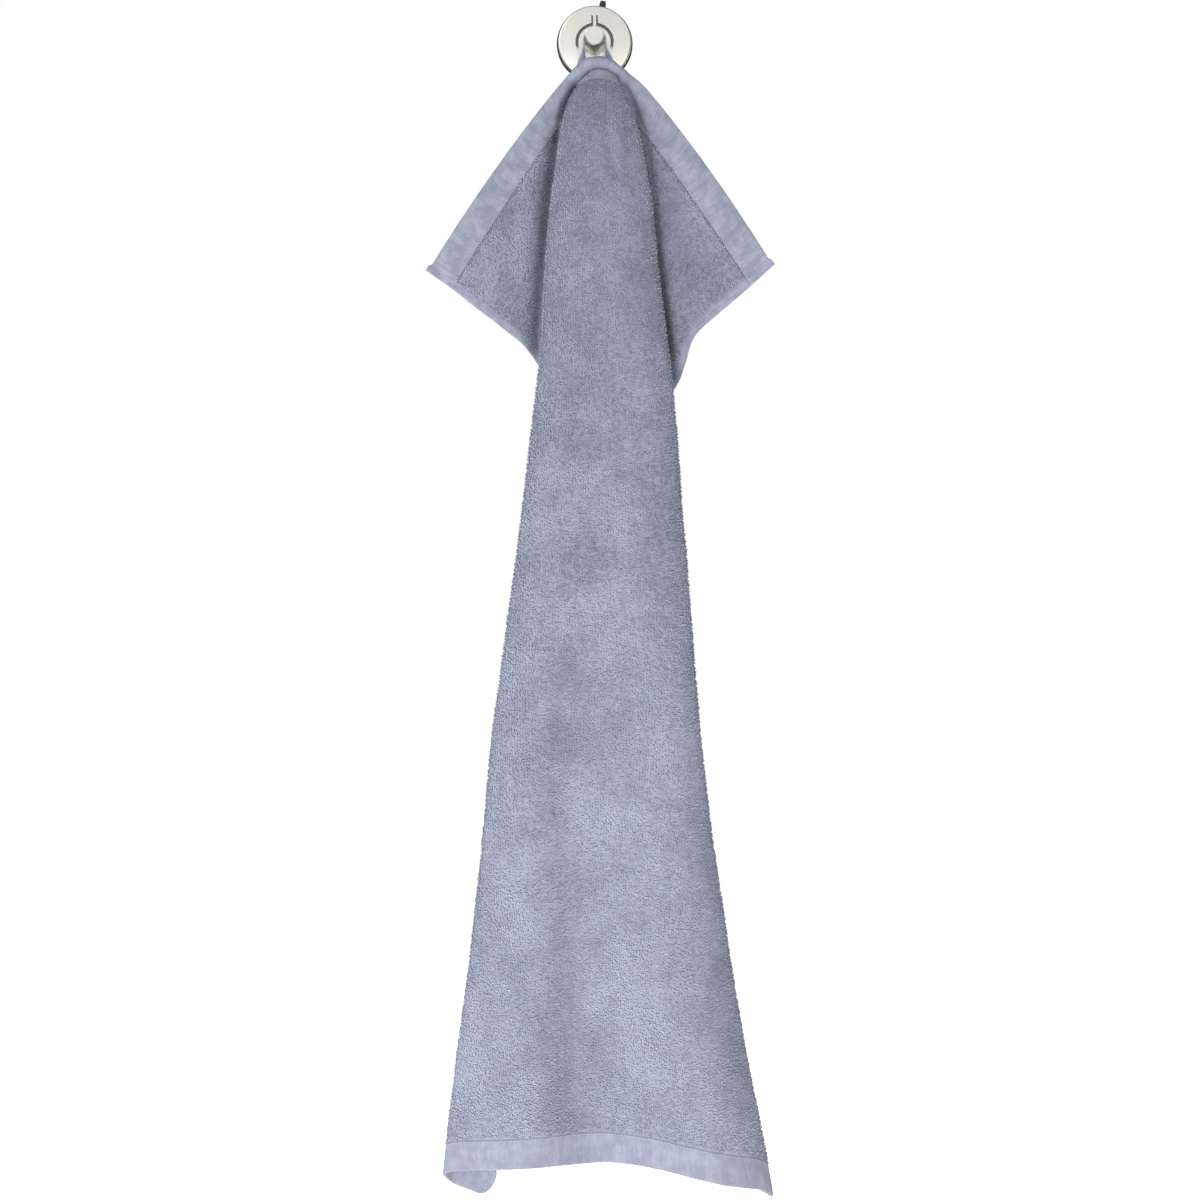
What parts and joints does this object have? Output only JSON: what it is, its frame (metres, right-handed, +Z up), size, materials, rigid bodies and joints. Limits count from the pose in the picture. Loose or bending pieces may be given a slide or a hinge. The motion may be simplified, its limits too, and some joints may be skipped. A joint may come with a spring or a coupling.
{
  "type": "hand towel on a round wall hook",
  "caption": "Terry hand towel hung by its tape loop from a round steel wall hook with a peg, its top corners falling to the sides.",
  "frame": {"origin": "middle of the hook's back face, on the wall", "axes": "+Z up, +Y into the wall, -Y the front"},
  "size_m": [0.3147, 0.0764, 1.0967],
  "materials": {
    "towel": "grey-blue cotton terry",
    "hanging_loop": "grey-blue woven tape",
    "knob": "fine brushed steel",
    "cover_disc": "fine brushed steel",
    "backing_pad": "matt black rubber"
  },
  "bodies": {
    "root": {"towel": "towel", "hanging_loop": "hanging_loop", "knob": "knob", "cover_disc": "cover_disc", "backing_pad": "backing_pad"}
  },
  "joints": []
}
